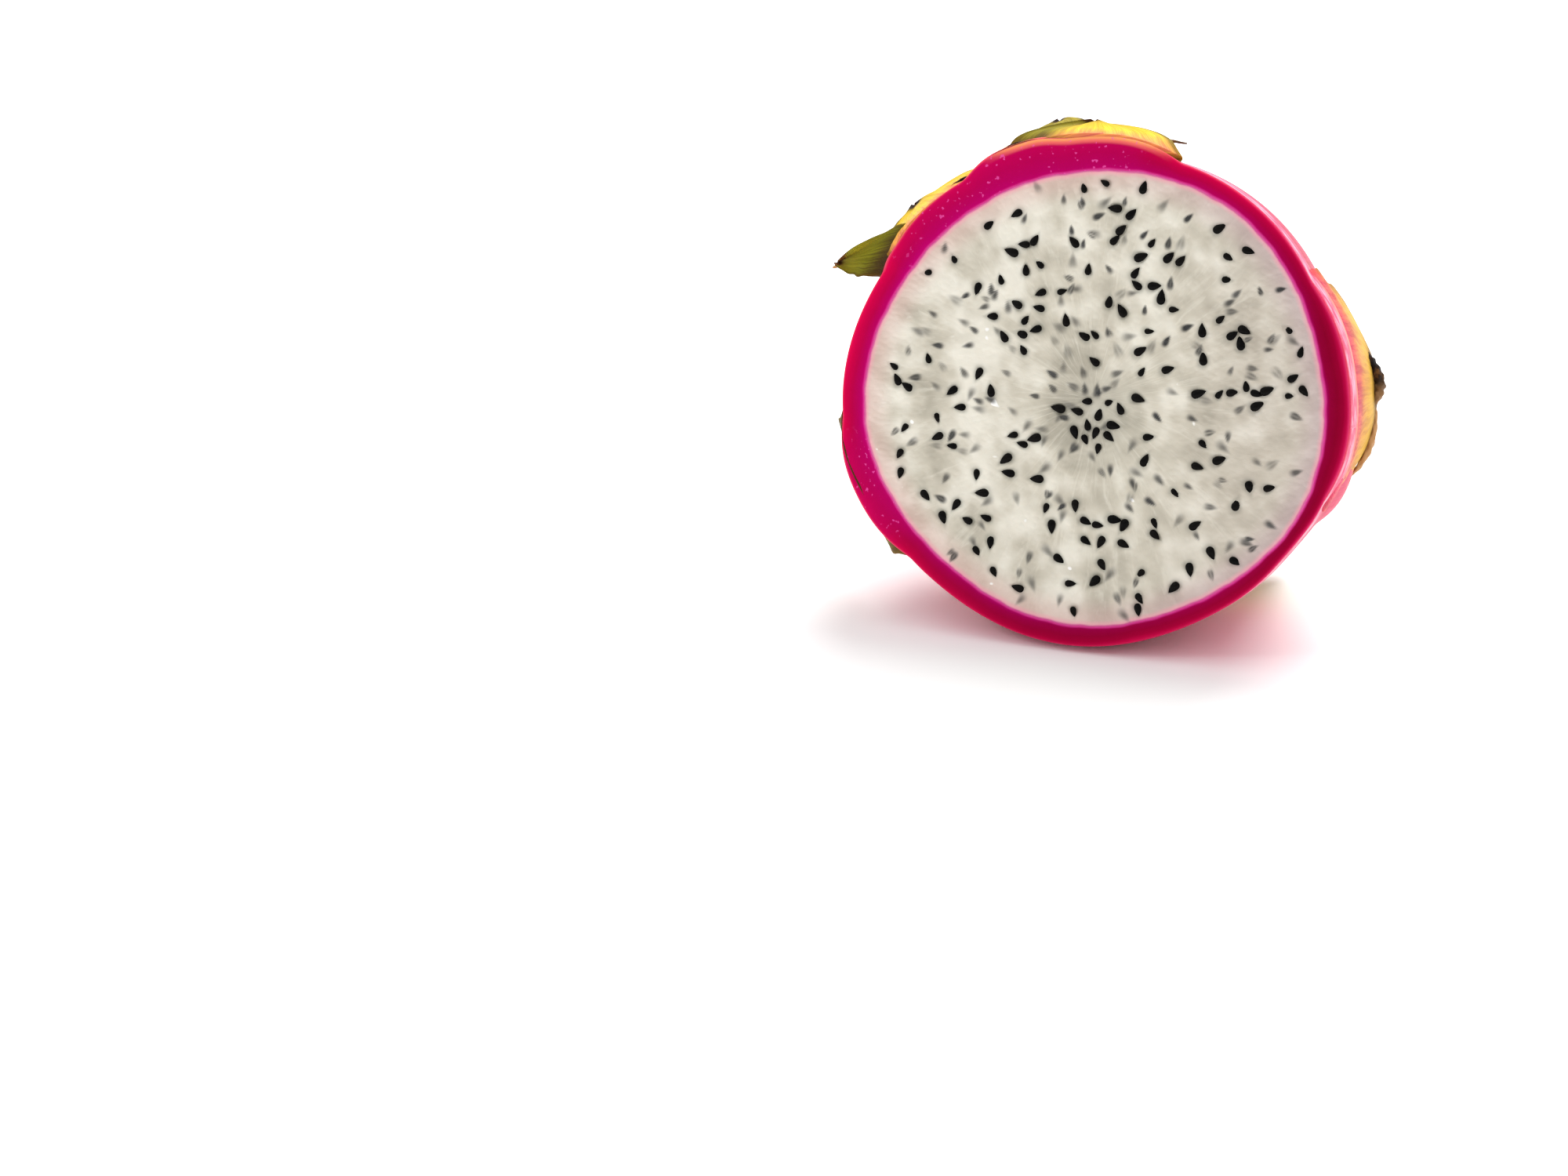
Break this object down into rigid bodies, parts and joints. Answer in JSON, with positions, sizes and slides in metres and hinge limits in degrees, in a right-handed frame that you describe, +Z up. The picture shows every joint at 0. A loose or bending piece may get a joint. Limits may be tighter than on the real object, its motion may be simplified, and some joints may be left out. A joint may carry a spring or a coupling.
{
  "type": "dragon fruit half",
  "caption": "Half of a dragon fruit, cut crosswise, with scaly rind and seeded white flesh, resting on its belly with the cut face leaning back.",
  "frame": {"origin": "on the floor under the middle of the fruit's bounding box", "axes": "+Z up, the cut face looks towards -Y and a little upwards, +X to the right as seen from the cut face"},
  "size_m": [0.0952, 0.075, 0.0866],
  "materials": {
    "peel": "waxy fruit rind, satin, magenta with green-tipped scales",
    "flesh": "moist translucent white pulp with glossy black seeds"
  },
  "bodies": {
    "root": {"peel": "peel", "flesh": "flesh"}
  },
  "joints": []
}
